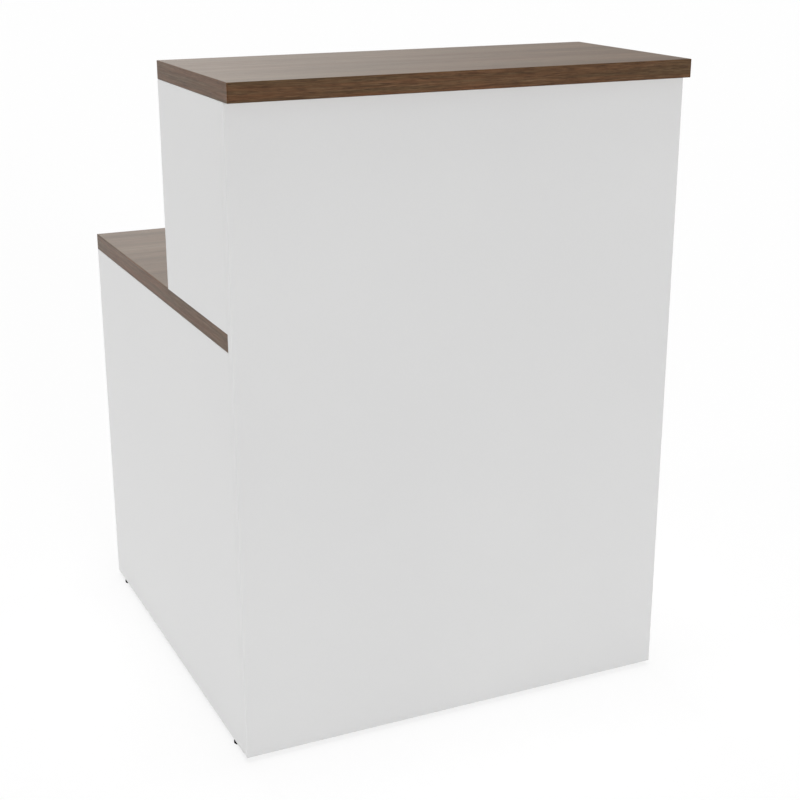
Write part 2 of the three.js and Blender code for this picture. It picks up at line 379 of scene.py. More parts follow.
def bored_box(low: Array, high: Array, bores: list[Bore]) -> Surface:
    """Makes a board with square arrises and blind round holes.

    Each face is a grid of flat cells between the lines of all the holes. The cells inside a hole's square
    give way to that hole's own patch, and the faces are welded along the lines that they share.

    Args:
        low: The board's lowest corner.
        high: The board's highest corner.
        bores: The holes.

    Returns:
        A closed surface.
    """
    lines = []
    for axis in range(3):
        places = [[low[axis], high[axis]]] + [bore.lines(axis) for bore in bores]
        lines.append(np.unique(np.round(np.concatenate(places), 6)))
    whole = Surface(np.empty((0, 3)), np.empty((0, 4), dtype=int))
    for along in Axis:
        first, second = (lines[axis] for axis in along.across)
        pair = np.stack(np.meshgrid(first, second, indexing="xy"), axis=-1)
        middle = (pair[:-1, :-1] + pair[1:, 1:]) / 2.0
        for is_high, face in ((False, low[along.value]), (True, high[along.value])):
            kept = np.ones(middle.shape[:2], dtype=bool)
            holes = [bore for bore in bores if bore.along is along and bore.opens_high is is_high]
            for bore in holes:
                kept &= ~bore.covers(middle)
            quads = grid_quads(len(second), len(first), False)[kept.reshape(-1)]
            sheet = Surface(along.spread(pair, face).reshape(-1, 3), quads)
            whole = whole.joined(sheet if is_high else sheet.reversed())
            for bore in holes:
                whole = whole.joined(bore.patch(face))
    return whole.welded()


def node_corners(node: str) -> tuple[Array, Array]:
    """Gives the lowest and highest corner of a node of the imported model, in millimetres."""
    low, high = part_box(node)
    return np.round(np.array(low) / METRES, 3), np.round(np.array(high) / METRES, 3)


def cam_nodes() -> list[str]:
    """Gives the names of all the cams, in order."""
    return sorted(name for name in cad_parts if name.endswith("_cam"))


class Wiring:
    """The nodes of one material or world, with short ways to add and join them."""

    def __init__(self, owner: Material | bpy.types.World) -> None:
        """Starts from no nodes.

        Args:
            owner: The material or world that the nodes belong to.
        """
        owner.use_nodes = True
        self.owner = owner
        self.tree = owner.node_tree
        self.tree.nodes.clear()

    @cached_property
    def place(self) -> Socket:
        """The object's own coordinates."""
        return self.add("ShaderNodeTexCoord").outputs["Object"]

    def add(self, kind: str, inputs: dict[str | int, object] | None = None,
            **settings: object) -> bpy.types.Node:
        """Adds a node, sets it and feeds its inputs.

        Args:
            kind: The node's type.
            inputs: A value, or another node's output, for each input, by its name or number.
            settings: The node's own settings, by name.

        Returns:
            The new node.
        """
        node = self.tree.nodes.new(kind)
        for key, value in settings.items():
            setattr(node, key, value)
        for key, value in (inputs or {}).items():
            if isinstance(value, Socket):
                self.tree.links.new(value, node.inputs[key])
            else:
                node.inputs[key].default_value = value
        return node

    def noise(self, repeats: Triple, detail: float, roughness: float = 0.5, distortion: float = 0.0,
              shift: float = 0.0) -> Socket:
        """Adds a cloud of soft noise in the object's own coordinates, of about one lump to a repeat.

        Args:
            repeats: Repeats to the metre along X, Y and Z.
            detail: How many finer layers are laid over it.
            roughness: How strong the finer layers are.
            distortion: How much the lumps are pulled about.
            shift: How far the pattern is moved, to give a piece a stretch of its own.

        Returns:
            The noise, from 0 to 1.
        """
        moved = [shift * way for way in SHIFT_WAY]
        mapping = self.add("ShaderNodeMapping", {"Vector": self.place, "Scale": repeats, "Location": moved})
        cloud = {"Vector": mapping.outputs["Vector"], "Scale": 1.0, "Detail": detail}
        cloud |= {"Roughness": roughness, "Distortion": distortion}
        return self.add("ShaderNodeTexNoise", cloud).outputs["Fac"]

    def fitted(self, value: Socket, start: Pair, end: Pair) -> Socket:
        """Maps a value from a start range onto an end range, and holds it there."""
        span = {"From Min": start[0], "From Max": start[1], "To Min": end[0], "To Max": end[1]}
        return self.add("ShaderNodeMapRange", {"Value": value, **span}).outputs["Result"]

    def result_of(self, operation: str, *values: object) -> Socket:
        """Works out one operation on values or other nodes' outputs."""
        return self.add("ShaderNodeMath", dict(enumerate(values)), operation=operation).outputs["Value"]

    def sum_of(self, *parts: tuple[Socket, float]) -> Socket:
        """Adds up values, each times its share.

        Args:
            parts: Pairs of a value and its share.

        Returns:
            The sum.
        """
        total = 0.0
        for value, share in parts:
            total = self.result_of("MULTIPLY_ADD", value, share, total)
        return total

    def ramp(self, value: Socket, *stops: tuple[float, Color]) -> Socket:
        """Colours a value by a row of stops.

        Args:
            value: A value from 0 to 1.
            stops: Places from 0 to 1 with their colours, in rising order.

        Returns:
            The colour.
        """
        node = self.add("ShaderNodeValToRGB", {"Fac": value})
        elements = node.color_ramp.elements
        while len(elements) < len(stops):
            elements.new(0.5)
        for element, (position, color) in zip(elements, stops):
            element.position = position
            element.color = (*color, 1.0)
        return node.outputs["Color"]

    def blended(self, share: Socket, base: Socket, over: Color, mode: str = "MIX") -> Socket:
        """Lays a share of one colour over a base, mixed in the way that the mode says."""
        colors = {"Factor": share, 6: base, 7: (*over, 1.0)}
        return self.add("ShaderNodeMix", colors, data_type="RGBA", blend_type=mode).outputs[2]

    def bump(self, height: Socket, depth: float, strength: float) -> Socket:
        """Makes the normal of a fine relief, from its height, its depth in metres and its strength."""
        relief = {"Height": height, "Distance": depth, "Strength": strength}
        return self.add("ShaderNodeBump", relief).outputs["Normal"]

    def either(self, share: Socket | float, first: Socket, second: Socket) -> Socket:
        """Mixes two shaders, by the share of the second."""
        return self.add("ShaderNodeMixShader", {"Fac": share, 1: first, 2: second}).outputs["Shader"]

    def finish(self, color: Socket, roughness: Socket, normal: Socket, metallic: float = 0.0,
               specular: float = 0.5) -> Material:
        """Joins everything to one shader.

        Args:
            color: The base colour.
            roughness: The roughness.
            normal: The relief's normal.
            metallic: 1 for bare metal and 0 for the rest.
            specular: The level of the gloss, where 0.5 is plain.

        Returns:
            The finished material.
        """
        look = {"Base Color": color, "Roughness": roughness, "Normal": normal}
        look |= {"Metallic": metallic, "Specular IOR Level": specular}
        shader = self.add("ShaderNodeBsdfPrincipled", look)
        self.add("ShaderNodeOutputMaterial", {"Surface": shader.outputs["BSDF"]})
        return self.owner


@dataclass(frozen=True)
class Skin:
    """A plain finish: two tones in soft patches and specks, with a fine grain in the relief.

    A noise has its repeats to the metre along X, Y and Z, its finer layers and how strong these are.
    """

    name: str
    tones: tuple[tuple[float, Color], tuple[float, Color]]
    patch: Noise
    grain: Noise
    relief: Pair
    roughness: Pair
    speck: Noise | None = None
    speck_share: float = 0.3
    metallic: float = 0.0
    specular: float = 0.5
    tone_span: Pair = (0.3, 0.7)

    def material(self) -> Material:
        """Builds the material: the patches give the colour and the roughness, and the grain the relief.

        Returns:
            The material.
        """
        wiring = Wiring(bpy.data.materials.new(self.name))
        tone = wiring.noise(*self.patch)
        if self.speck:
            speck = wiring.noise(*self.speck)
            tone = wiring.sum_of((tone, 1.0 - self.speck_share), (speck, self.speck_share))
        color = wiring.ramp(tone, *self.tones)
        relief = wiring.bump(wiring.noise(*self.grain), *self.relief)
        roughness = wiring.fitted(tone, self.tone_span, self.roughness)
        return wiring.finish(color, roughness, relief, self.metallic, self.specular)


@dataclass(frozen=True)
class Streak:
    """One width of streak in a figure: repeats to the metre along and across the grain, and its share."""

    along: float
    across: float
    share: float


class Figure(Enum):
    """The figures of the walnut foil, each from its broadest streak to its finest."""

    CLOSE = (Streak(3.0, 60.0, 0.06), Streak(6.0, 340.0, 0.27),
             Streak(34.0, 660.0, 0.45), Streak(60.0, 1300.0, 0.22))
    LONG = (Streak(1.6, 60.0, 0.06), Streak(5.0, 300.0, 0.32),
            Streak(18.0, 560.0, 0.44), Streak(60.0, 1300.0, 0.18))
    BROAD = (Streak(1.6, 26.0, 0.36), Streak(5.0, 160.0, 0.24),
             Streak(28.0, 420.0, 0.27), Streak(60.0, 1300.0, 0.13))


@dataclass(frozen=True)
class WalnutFoil:
    """Printed walnut: fine dark and pale dashes along the grain, redder streaks and short open pores.

    The layers are how many finer ones a streak's noise has, how strong they are and how far they are pulled.
    """

    name: str
    grain: Axis
    figure: Figure
    roughness: Pair
    specular: float
    shift: float = 0.0
    dark: Color = (0.038, 0.019, 0.0085)
    brown: Color = (0.074, 0.041, 0.0195)
    tan: Color = (0.103, 0.062, 0.031)
    pale: Color = (0.147, 0.098, 0.056)
    red: Color = (1.25, 1.0, 0.95)
    pore: Color = (0.018, 0.009, 0.005)
    layers: Triple = (5.0, 0.58, 0.05)
    tone_span: Pair = (0.42, 0.58)
    wash: Streak = Streak(5.0, 150.0, 1.0)
    wash_shift: float = 3.0
    wash_span: Pair = (0.36, 0.66)
    pores: Streak = Streak(55.0, 2300.0, 0.80)
    pore_span: Pair = (0.59, 0.68)
    pore_height: float = -0.8
    streak_height: float = 0.3
    relief: Pair = (0.00005, 0.4)

    def drawn(self, streak: Streak) -> Triple:
        """Gives a streak's repeats to the metre along X, Y and Z, drawn out along the grain."""
        return tuple(streak.along if axis is self.grain else streak.across for axis in Axis)

    def material(self) -> Material:
        """Builds the material from the figure's streaks, a red wash in other streaks and a layer of pores.

        Returns:
            The material.
        """
        wiring = Wiring(bpy.data.materials.new(self.name))
        figure = self.figure.value
        lumps = [wiring.noise(self.drawn(streak), *self.layers, self.shift) for streak in figure]
        tone = wiring.sum_of(*((lump, streak.share) for lump, streak in zip(lumps, figure)))
        color = wiring.ramp(tone, (0.34, self.dark), (0.45, self.brown), (0.55, self.tan), (0.66, self.pale))
        patches = wiring.noise(self.drawn(self.wash), 2.0, shift=self.shift + self.wash_shift)
        wash = wiring.fitted(patches, self.wash_span, (0.0, self.wash.share))
        color = wiring.blended(wash, color, self.red, "MULTIPLY")
        dashes = wiring.noise(self.drawn(self.pores), 1.0, shift=self.shift)
        pores = wiring.fitted(dashes, self.pore_span, (0.0, self.pores.share))
        color = wiring.blended(pores, color, self.pore)
        height = wiring.sum_of((pores, self.pore_height), (lumps[-1], self.streak_height))
        relief = wiring.bump(height, *self.relief)
        roughness = wiring.fitted(tone, self.tone_span, self.roughness)
        return wiring.finish(color, roughness, relief, specular=self.specular)


@dataclass(frozen=True)
class TurnedBeech:
    """Pale beech for dowels, with short dark flecks along the grain."""

    name: str
    pale: Color = (0.60, 0.42, 0.26)
    warm: Color = (0.46, 0.29, 0.16)
    fleck: Color = (0.24, 0.13, 0.065)
    streak: Noise = ((420.0, 420.0, 30.0), 3.0, 0.5)
    dash: Noise = ((1500.0, 1500.0, 320.0), 1.0, 0.5)
    dash_span: Pair = (0.62, 0.70)
    fleck_share: float = 0.7
    relief: Pair = (0.00004, 0.4)
    tone_span: Pair = (0.3, 0.7)
    roughness: Pair = (0.62, 0.54)

    def material(self) -> Material:
        """Builds the material: soft streaks up the dowel and flecks a millimetre or two long.

        Returns:
            The material.
        """
        wiring = Wiring(bpy.data.materials.new(self.name))
        streak = wiring.noise(*self.streak)
        color = wiring.ramp(streak, (0.34, self.warm), (0.64, self.pale))
        flecks = wiring.fitted(wiring.noise(*self.dash), self.dash_span, (0.0, self.fleck_share))
        color = wiring.blended(flecks, color, self.fleck)
        relief = wiring.bump(flecks, *self.relief)
        roughness = wiring.fitted(streak, self.tone_span, self.roughness)
        return wiring.finish(color, roughness, relief)


WHITE_FACING = Skin(
    "white_facing",
    tones=((0.36, (0.650, 0.650, 0.650)), (0.64, (0.665, 0.665, 0.664))),
    patch=((2.3, 2.3, 2.3), 3.0, 0.5),
    speck=((420.0, 420.0, 420.0), 2.0, 0.5),
    grain=((850.0, 850.0, 850.0), 1.0, 0.5),
    relief=(0.00004, 0.35),
    roughness=(0.40, 0.48),
    specular=0.3,
)
CAST_ZINC = Skin(
    "cast_zinc",
    tones=((0.32, (0.36, 0.365, 0.37)), (0.62, (0.60, 0.605, 0.61))),
    patch=((240.0, 240.0, 240.0), 4.0, 0.6),
    grain=((3200.0, 3200.0, 3200.0), 2.0, 0.5),
    relief=(0.00002, 0.4),
    roughness=(0.52, 0.34),
    metallic=1.0,
)
TURNING_MARKS = ((60.0, 60.0, 5200.0), 2.0, 0.5)
PLATED_STEEL = Skin(
    "plated_steel",
    tones=((0.34, (0.50, 0.50, 0.49)), (0.64, (0.70, 0.69, 0.65))),
    patch=((300.0, 300.0, 120.0), 3.0, 0.5),
    speck=TURNING_MARKS,
    grain=TURNING_MARKS,
    relief=(0.00001, 0.5),
    roughness=(0.38, 0.24),
    metallic=1.0,
)
BLACK_PLASTIC = Skin(
    "black_plastic",
    tones=((0.45, (0.004, 0.004, 0.005)), (0.72, (0.012, 0.012, 0.013))),
    patch=((350.0, 350.0, 350.0), 4.0, 0.65),
    grain=((4200.0, 4200.0, 4200.0), 1.0, 0.5),
    relief=(0.00003, 0.5),
    roughness=(0.66, 0.82),
    specular=0.1,
)
TOP_FOIL = WalnutFoil("walnut_top", Axis.WIDTH, Figure.BROAD, (0.335, 0.295), 0.34, red=(1.24, 1.0, 0.93))
LONG_FOIL = WalnutFoil("walnut_long_band", Axis.WIDTH, Figure.CLOSE, (0.54, 0.42), 0.2, shift=1.7)
DEEP_FOIL = WalnutFoil("walnut_deep_band", Axis.DEPTH, Figure.LONG, (0.36, 0.30), 0.09, shift=7.7)


class Finishes:
    """Every finish of the desk, made once."""

    def __init__(self) -> None:
        """Builds the materials."""
        self.white = WHITE_FACING.material()
        self.top = TOP_FOIL.material()
        self.long_band = LONG_FOIL.material()
        self.deep_band = DEEP_FOIL.material()
        self.zinc = CAST_ZINC.material()
        self.steel = PLATED_STEEL.material()
        self.black = BLACK_PLASTIC.material()
        self.beech = TurnedBeech("turned_beech").material()


def set_piece(name: str, surface: Surface, material: Material, body: str = DESK_BODY,
              node: str = "") -> None:
    """Makes a piece of the desk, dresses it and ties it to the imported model.

    Args:
        name: The piece's name.
        surface: Its shape.
        material: Its finish.
        body: The body that it moves with.
        node: The node that it stands for, where there is one.
    """
    piece = bpy.data.objects.new(name, surface.mesh(name))
    bpy.context.scene.collection.objects.link(piece)
    piece.data.materials.append(material)
    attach(piece, body)
    if node:
        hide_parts(node)
    LOG.info("%s: %d faces, on %s", name, len(piece.data.polygons), body)


@dataclass
class WhiteBoards:
    """The five white boards, with their bores and the thin white edging on the edges that show."""

    finishes: Finishes
    edging: float = 1.0
    arris: float = 0.45
    seam: float = 0.12
    end_arris: float = 0.3
    cam_play: float = 0.3
    sleeve_play: float = 0.2
    stud_room: float = 3.0

    def cam_bores(self, board: str) -> list[Bore]:
        """Finds the bores that a board needs for its cams.

        Args:
            board: The board's node.

        Returns:
            A bore for every cam whose name starts with the board's.
        """
        bores = []
        for node in cam_nodes():
            if node.startswith(board):
                low, high = node_corners(node)
                _, depth, height = (low + high) / 2.0
                opens_high = bool(high[0] < 0.0)
                radius = (high[2] - low[2]) / 2.0 + self.cam_play
                length = high[0] - low[0] + self.cam_play
                bores.append(Bore(Axis.WIDTH, opens_high, (depth, height), radius, length))
        return bores

    def sleeve_bores(self, side: Side) -> list[Bore]:
        """Finds the bores for the two foot sleeves in a gable's lower edge.

        Args:
            side: The gable's side.

        Returns:
            A bore for the front foot and one for the back foot, deep enough for the stud.
        """
        bores = []
        for place in FRONT_TO_BACK:
            foot = f"{side.value}_{place.value}_foot"
            low, high = node_corners(f"{foot}_sleeve")
            top = node_corners(f"{foot}_stud")[1][2]
            across, depth, _ = (low + high) / 2.0
            radius = (high[0] - low[0]) / 2.0 + self.sleeve_play
            length = top - low[2] + self.stud_room
            bores.append(Bore(Axis.HEIGHT, False, (across, depth), radius, length))
        return bores

    def edge(self, name: str, low: Array, high: Array, out: Axis, looks_high: bool) -> None:
        """Glues a strip of edging on an upright edge that looks out along a direction, high or low."""
        strip = Strip(low, high, Axis.HEIGHT, out, looks_high, self.arris, self.seam, self.end_arris)
        set_piece(name, strip.surface(), self.finishes.white)

    def front(self) -> None:
        """Builds the front panel and the edging on its left and right edges."""
        low, high = node_corners("front_panel")
        inset = np.array([self.edging, 0.0, 0.0])
        core = bored_box(low + inset, high - inset, [])
        set_piece("front_panel_board", core, self.finishes.white, node="front_panel")
        left_high = np.array([low[0] + self.edging, *high[1:]])
        right_low = np.array([high[0] - self.edging, *low[1:]])
        self.edge("front_panel_left_edging", low, left_high, Axis.WIDTH, False)
        self.edge("front_panel_right_edging", right_low, high, Axis.WIDTH, True)

    def upright(self, board: str, bores: list[Bore]) -> None:
        """Builds a gable or a riser and the edging on its back edge.

        Args:
            board: The board's node.
            bores: Its holes.
        """
        low, high = node_corners(board)
        core_high = high - np.array([0.0, self.edging, 0.0])
        core = bored_box(low, core_high, bores)
        set_piece(f"{board}_board", core, self.finishes.white, node=board)
        strip_low = np.array([low[0], core_high[1], low[2]])
        self.edge(f"{board}_back_edging", strip_low, high, Axis.DEPTH, True)

    def build(self) -> None:
        """Builds all five boards."""
        self.front()
        for side in LEFT_TO_RIGHT:
            gable = f"{side.value}_gable"
            self.upright(gable, self.cam_bores(gable) + self.sleeve_bores(side))
            riser = f"{side.value}_riser"
            self.upright(riser, self.cam_bores(riser))


@dataclass
class WalnutTop:
    """A walnut board and the bands glued round it."""

    board: str
    bands: tuple[Side, ...]
    finishes: Finishes
    arris: float = 1.0
    seam: float = 0.12
    end_arris: float = 0.5

    def band(self, edge: Side) -> None:
        """Builds one band. The bands at the left and right run over the ends of the front and back ones.

        Args:
            edge: The side of the board that it is glued on.
        """
        node = f"{self.board.split('_')[0]}_{edge.value}_band"
        low, high = node_corners(node)
        looks_high = edge in (Side.RIGHT, Side.BACK)
        if edge in LEFT_TO_RIGHT:
            ways, ends, finish = (Axis.DEPTH, Axis.WIDTH), self.end_arris, self.finishes.deep_band
        else:
            ways, ends, finish = (Axis.WIDTH, Axis.DEPTH), self.seam, self.finishes.long_band
        strip = Strip(low, high, *ways, looks_high, self.arris, self.seam, ends)
        set_piece(f"{node}_strip", strip.surface(), finish, node=node)

    def build(self) -> None:
        """Builds the board and its bands."""
        core = bored_box(*node_corners(self.board), [])
        set_piece(f"{self.board}_board", core, self.finishes.top, node=self.board)
        for edge in self.bands:
            self.band(edge)


@dataclass
class CamFace:
    """The cams that show in the inner faces: a zinc disc with a broken rim, a ring and a cross recess."""

    finishes: Finishes
    rim: float = 0.4
    back_rim: float = 0.3
    eye: float = 0.12
    cross_reach: float = 4.6
    ring_start: float = 4.75
    ring_radius: float = 5.7
    ring_width: float = 0.28
    ring_depth: float = 0.3
    arm_half_width: float = 0.85
    arm_length: float = 3.7
    soft_width: float = 0.2
    soft_length: float = 0.3
    recess: float = 2.4
    first_turn: float = 18.0
    turn_step: float = 37.0
    sides: int = 96

    def shape(self, radius: float, depth: float, turn: float) -> Surface:
        """Makes a cam that looks along its own +Z, with its face at height 0.

        The face is a height over radius and angle. The rim falls away outside radius - rim, a rounded groove
        runs at the ring, and the cross is the larger of two arms, each a product of two soft steps.

        Args:
            radius: The cam's radius.
            depth: Its length.
            turn: How far the cross is turned, in radians.

        Returns:
            A closed surface.
        """
        over_cross = np.linspace(self.eye, self.cross_reach, 30)
        over_ring = np.linspace(self.ring_start, radius - self.rim, 14)
        distance = np.concatenate([over_cross, over_ring, [radius]])[:, None]
        angle = angles(self.sides)[None, :] - turn
        along, across = distance * np.cos(angle), distance * np.sin(angle)
        arms = np.maximum(self.arm(along, across), self.arm(across, along))
        groove = self.ring_depth * np.exp(-(((distance - self.ring_radius) / self.ring_width) ** 2))
        edge = np.maximum(distance - (radius - self.rim), 0.0)
        face = -(self.recess * arms + groove + edge)
        wall, low = profile((radius - self.back_rim, -depth), (radius, self.back_rim - depth))
        reach = np.concatenate([wall, distance[::-1]])
        level = np.concatenate([np.repeat(low, self.sides, axis=1), face[::-1]])
        return round_surface(reach, level, self.sides)

    def arm(self, along: Array, across: Array) -> Array:
        """Gives how deep one arm of the cross is, from 0 to 1, by a soft step in width times one in length.

        Args:
            along: Places along the arm.
            across: Places across it.

        Returns:
            The depth as a share of the recess.
        """
        wide = (self.arm_half_width + self.soft_width - np.abs(across)) / (2.0 * self.soft_width)
        long = (self.arm_length + self.soft_length - np.abs(along)) / (2.0 * self.soft_length)
        wide, long = np.clip(wide, 0.0, 1.0), np.clip(long, 0.0, 1.0)
        return wide * wide * (3.0 - 2.0 * wide) * long * long * (3.0 - 2.0 * long)

    def build(self) -> None:
        """Sets a cam in every bore, turned to look into the desk."""
        for number, node in enumerate(cam_nodes()):
            low, high = node_corners(node)
            turn = math.radians(self.first_turn + self.turn_step * number)
            cam = self.shape((high[2] - low[2]) / 2.0, high[0] - low[0], turn)
            spot = (low + high) / 2.0
            inwards = -np.sign(spot[0])
            spot[0] = high[0] if inwards > 0.0 else low[0]
            way = np.array([[0.0, 0.0, inwards], [inwards, 0.0, 0.0], [0.0, 1.0, 0.0]])
            set_piece(f"{node}_disc", cam.placed(spot, way), self.finishes.zinc, node=node)


@dataclass
class LevellingFoot:
    """One foot: a fluted pad that stays still while its threaded stud turns in the sleeve over it."""

    name: str
    finishes: Finishes
    flutes: int = 20
    flute_steps: int = 8
    flute_depth: float = 0.18
    flute_middle: float = 2.3
    flute_half: float = 1.9
    flute_full: float = 0.4
    rim_width: float = 0.15
    collar_radius: float = 5.0
    collar_height: float = 2.7
    rod_radius: float = 3.0
    pitch: float = 1.0
    thread_depth: float = 0.32
    thread_steps: int = 8
    runout: float = 1.2
    cone: float = 0.8
    sleeve_inner: float = 3.25
    rib_half_depth: float = 0.25
    rib_length: float = 3.0

    def pad(self, radius: float, height: float) -> Surface:
        """Turns the pad: a hollowed sole, a fluted rim and a sloped shoulder round a shallow seat.

        On the rim the radius falls by the flute depth times a raised cosine of the flutes' angle. The flutes
        fade out with the height over and under their middle.

        Args:
            radius: The pad's radius.
            height: Its height.

        Returns:
            A closed surface.
        """
        sole = [(0.6, 0.5), (radius - 2.6, 0.5), (radius - 2.2, 0.0), (radius - 0.35, 0.0)]
        rim = [(radius - 0.1, 0.15), (radius, 0.5), (radius, 1.2), (radius, 3.4), (radius, 4.1)]
        shoulder = [(radius - 0.2, 4.5), (radius - 0.6, height - 0.1), (radius - 1.1, height)]
        seat = [(radius - 3.4, height), (radius - 3.7, height - 0.4), (0.6, height - 0.4)]
        reach, level = profile(*sole, *rim, *shoulder, *seat)
        sides = self.flutes * self.flute_steps
        fade = 1.0 - np.abs(level - self.flute_middle) / self.flute_half + self.flute_full
        share = np.clip(fade, 0.0, 1.0) * (reach > radius - self.rim_width)
        wave = 0.5 - 0.5 * np.cos(self.flutes * angles(sides)[None, :])
        return round_surface(reach - self.flute_depth * share * wave, level, sides)

    def collar(self, low: float, high: float) -> Surface:
        """Makes the hexagon that a spanner turns, with its corners cut back at both ends.

        A hexagon's radius at an angle is its flat's distance over the cosine of the angle from that flat. At
        the ends it is held to a circle, which cuts the corners.

        Args:
            low: Where it starts.
            high: Where it ends.

        Returns:
            A closed surface.
        """
        sides = 96
        radius = self.collar_radius
        flat = radius * math.cos(math.pi / 6.0)
        hexagon = flat / np.cos(np.mod(angles(sides), math.pi / 3.0) - math.pi / 6.0)
        start = [(2.0, low), (flat - 0.1, low), (radius - 0.2, low + 0.25), (radius, low + 0.4)]
        end = [(radius, high - 0.4), (radius - 0.2, high - 0.25), (flat - 0.1, high), (2.0, high)]
        limit, level = profile(*start, *end)
        return round_surface(np.minimum(limit, hexagon[None, :]), level, sides)

    def thread(self, low: float, high: float) -> Surface:
        """Makes the threaded rod, whose ridge climbs one pitch with each turn.

        The radius falls by the thread depth times a three-cornered wave of height / pitch - angle / turn.
        Near the upper end the wave fades out and the rod narrows to a cone.

        Args:
            low: Where the rod starts.
            high: Where it ends.

        Returns:
            A closed surface.
        """
        sides = 36
        count = int(round((high - low) / self.pitch)) * self.thread_steps
        level = np.linspace(low, high, count + 1)[:, None]
        phase = level / self.pitch - np.arange(sides)[None, :] / sides
        wave = np.abs(2.0 * (phase - np.floor(phase)) - 1.0)
        full = np.clip((high - level) / self.runout, 0.0, 1.0)
        cone = self.cone * (1.0 - full)
        return round_surface(self.rod_radius - self.thread_depth * wave * full - cone, level, sides)

    def sleeve(self, outer: float, low: float, high: float) -> Surface:
        """Turns the sleeve: a tube with broken edges, ribbed outside where the board grips it.

        Outside, the radius swings by the ribs' half depth with a cosine of the height over the ribs' length.

        Args:
            outer: The radius over the ribs.
            low: Its lower face, flush with the board's edge.
            high: Its upper end.

        Returns:
            A closed ring-shaped surface.
        """
        sides = 64
        inner = self.sleeve_inner
        heights = np.linspace(low + 1.4, high - 0.6, 49)
        swing = np.cos((heights - heights[0]) * (FULL_TURN / self.rib_length))
        ribs = outer - self.rib_half_depth + self.rib_half_depth * swing
        flange = [[inner + 0.3, low], [outer - 0.2, low], [outer, low + 0.2], [outer, low + 1.0]]
        inside = [[outer - 0.5, high], [inner, high], [inner, low + 0.3]]
        loop = np.concatenate([flange, np.stack([ribs, heights], axis=-1), inside, flange[:1]])
        ring = round_surface(loop[:, :1], loop[:, 1:], sides)
        ring.caps = []
        return ring.welded()

    def build(self) -> None:
        """Builds the pad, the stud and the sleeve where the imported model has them."""
        nodes = (f"{self.name}_foot_{part}" for part in ("pad", "stud", "sleeve"))
        pad_node, stud_node, sleeve_node = nodes
        low, high = node_corners(pad_node)
        spot = (low + high) / 2.0 * np.array([1.0, 1.0, 0.0])
        pad = self.pad((high[0] - low[0]) / 2.0, high[2] - low[2]).placed(spot)
        pad_body = f"{self.name}_pad"
        set_piece(f"{pad_body}_moulding", pad, self.finishes.black, pad_body, pad_node)
        low, high = node_corners(stud_node)
        shoulder = low[2] + self.collar_height
        stud = self.collar(low[2], shoulder).joined(self.thread(shoulder, high[2])).placed(spot)
        stud_body = f"{self.name}_stud"
        set_piece(f"{stud_body}_thread", stud, self.finishes.steel, stud_body, stud_node)
        low, high = node_corners(sleeve_node)
        sleeve = self.sleeve((high[0] - low[0]) / 2.0, low[2], high[2]).placed(spot)
        set_piece(f"{self.name}_sleeve_tube", sleeve, self.finishes.zinc, node=sleeve_node)


@dataclass
class HiddenFixings:
    """The bolts and dowels inside the boards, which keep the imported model's shapes."""

    finishes: Finishes

    def dress(self) -> None:
        """Gives every bolt its steel and every dowel its beech."""
        for name, node in sorted(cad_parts.items()):
            if name.endswith("_bolt"):
                finish = self.finishes.steel
            elif "_dowel" in name:
                finish = self.finishes.beech
            else:
                continue
            node.data.materials.clear()
            node.data.materials.append(finish)
            LOG.info("%s: dressed in %s", name, finish.name)


@dataclass(frozen=True)
class SoftSun:
    """A wide soft light from far away."""

    name: str
    azimuth: float
    elevation: float
    strength: float
    spread: float = 10.0

    def build(self) -> None:
        """Hangs the light at its azimuth, which counts from the visitor's side towards the right."""
        data = bpy.data.lights.new(self.name, "SUN")
        data.energy = self.strength * math.pi
        data.angle = math.radians(self.spread)
        light = bpy.data.objects.new(self.name, data)
        light.rotation_euler = (math.radians(90.0 - self.elevation), 0.0, math.radians(self.azimuth))
        light.visible_glossy = False
        bpy.context.scene.collection.objects.link(light)


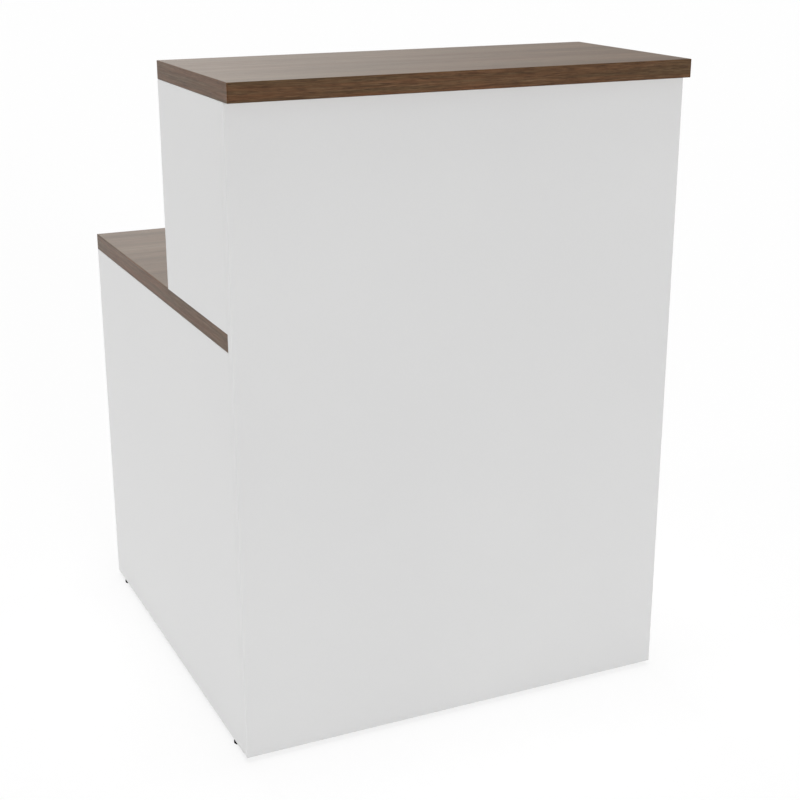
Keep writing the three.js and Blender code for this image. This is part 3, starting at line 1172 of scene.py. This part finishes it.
@dataclass
class Studio:
    """A white floor, soft white light from every side and the photograph's camera."""

    floor_size: float = 40.0
    floor_points: int = 9
    floor_color: Color = (0.70, 0.70, 0.70)
    seen_color: Color = (0.96, 0.96, 0.96)
    shadow_share: float = 0.18
    white: Color = (1.0, 1.0, 1.0)
    fill: float = 0.25
    gleam_color: Color = (1.0, 0.985, 0.945)
    dim_bearing: float = 52.0
    dim_from: float = 0.79
    dimmest: float = 0.12
    rise_height: float = 0.22
    rise: Pair = (1.03, 1.25)
    camera_place: Triple = (-1.08626, -2.46654, 1.36557)
    camera_pitch: float = 18.5331
    camera_yaw: float = 25.0941
    lens: float = 66.857
    sensor: float = 36.0
    sight: float = 200.0
    suns: tuple[SoftSun, ...] = (
        SoftSun("visitor_sun", 0.0, 5.0, 0.52),
        SoftSun("left_sun", -90.0, 5.0, 0.488),
        SoftSun("staff_sun", 180.0, 5.0, 0.52),
        SoftSun("right_sun", 90.0, 5.0, 0.52),
        SoftSun("high_sun", 0.0, 90.0, 0.57, 24.0),
    )

    def seen(self, wiring: Wiring) -> Socket:
        """Tells rays that show a background, to the eye or in gloss or glass, from rays that carry light.

        Args:
            wiring: The nodes that the test is added to.

        Returns:
            1 for a ray that shows a background, and 0 for the rest.
        """
        ray = wiring.add("ShaderNodeLightPath").outputs
        shows = wiring.result_of("MAXIMUM", ray["Is Camera Ray"], ray["Is Glossy Ray"])
        return wiring.result_of("MAXIMUM", shows, ray["Is Transmission Ray"])

    def floor_paint(self) -> Material:
        """Makes the floor's finish: plain pale paint to the light, and white with a faint shadow to the eye.

        Returns:
            The material.
        """
        wiring = Wiring(bpy.data.materials.new("floor_paint"))
        paint = wiring.add("ShaderNodeBsdfDiffuse", {"Color": (*self.floor_color, 1.0)}).outputs["BSDF"]
        white = wiring.add("ShaderNodeBsdfDiffuse", {"Color": (*self.seen_color, 1.0)}).outputs["BSDF"]
        glow = wiring.add("ShaderNodeEmission", {"Strength": 1.0}).outputs["Emission"]
        shown = wiring.either(self.shadow_share, glow, white)
        surface = wiring.either(self.seen(wiring), paint, shown)
        wiring.add("ShaderNodeOutputMaterial", {"Surface": surface})
        return wiring.owner

    def floor(self) -> None:
        """Lays the floor, a flat grid of points at height 0."""
        count = self.floor_points
        steps = np.linspace(-0.5, 0.5, count) * self.floor_size
        pair = np.stack(np.meshgrid(steps, steps, indexing="xy"), axis=-1)
        points = Axis.HEIGHT.spread(pair, 0.0).reshape(-1, 3)
        data = bpy.data.meshes.new("floor")
        data.from_pydata(points.tolist(), [], grid_quads(count, count, False).tolist())
        data.update()
        floor = bpy.data.objects.new("floor", data)
        bpy.context.scene.collection.objects.link(floor)
        data.materials.append(self.floor_paint())

    def backdrop(self, wiring: Wiring, color: Color, strength: Socket | float) -> Socket:
        """Adds a background of a colour and a strength, where 1 is white."""
        inputs = {"Color": (*color, 1.0), "Strength": strength}
        return wiring.add("ShaderNodeBackground", inputs).outputs["Background"]

    def sky(self) -> None:
        """Lights evenly all round, shows white, and mirrors a room that is dimmer behind on the right."""
        wiring = Wiring(bpy.data.worlds.new("white_room"))
        way = wiring.add("ShaderNodeTexCoord").outputs["Generated"]
        bearing = math.radians(self.dim_bearing)
        dim_way = (math.sin(bearing), math.cos(bearing), 0.0)
        dot = wiring.add("ShaderNodeVectorMath", {0: way, 1: dim_way}, operation="DOT_PRODUCT")
        height = wiring.add("ShaderNodeSeparateXYZ", {"Vector": way}).outputs["Z"]
        dim = wiring.fitted(dot.outputs["Value"], (self.dim_from, 1.0), (1.0, self.dimmest))
        rise = wiring.fitted(height, (0.0, self.rise_height), self.rise)
        light = self.backdrop(wiring, self.white, self.fill)
        plain = self.backdrop(wiring, self.white, 1.0)
        gleam = self.backdrop(wiring, self.gleam_color, wiring.result_of("MULTIPLY", dim, rise))
        in_gloss = wiring.add("ShaderNodeLightPath").outputs["Is Glossy Ray"]
        shown = wiring.either(in_gloss, plain, gleam)
        surface = wiring.either(self.seen(wiring), light, shown)
        wiring.add("ShaderNodeOutputWorld", {"Surface": surface})
        bpy.context.scene.world = wiring.owner

    def camera(self) -> None:
        """Sets the camera where the photograph was taken from."""
        data = bpy.data.cameras.new("camera")
        data.lens = self.lens
        data.sensor_width = self.sensor
        data.clip_end = self.sight
        camera = bpy.data.objects.new("camera", data)
        camera.location = self.camera_place
        pitch = math.radians(90.0 - self.camera_pitch)
        camera.rotation_euler = (pitch, 0.0, math.radians(-self.camera_yaw))
        bpy.context.scene.collection.objects.link(camera)
        bpy.context.scene.camera = camera

    def build(self) -> None:
        """Sets up the whole studio."""
        bpy.context.scene.view_settings.view_transform = "Standard"
        self.floor()
        self.sky()
        for sun in self.suns:
            sun.build()
        self.camera()


def main() -> None:
    """Builds the desk, then the studio."""
    logging.basicConfig(level=logging.INFO, format="%(name)s: %(message)s")
    finishes = Finishes()
    WhiteBoards(finishes).build()
    WalnutTop("worktop", (*LEFT_TO_RIGHT, Side.BACK), finishes).build()
    WalnutTop("counter_top", tuple(Side), finishes).build()
    CamFace(finishes).build()
    for side in LEFT_TO_RIGHT:
        for place in FRONT_TO_BACK:
            LevellingFoot(f"{side.value}_{place.value}", finishes).build()
    HiddenFixings(finishes).dress()
    Studio().build()


if __name__ == "__main__":
    main()
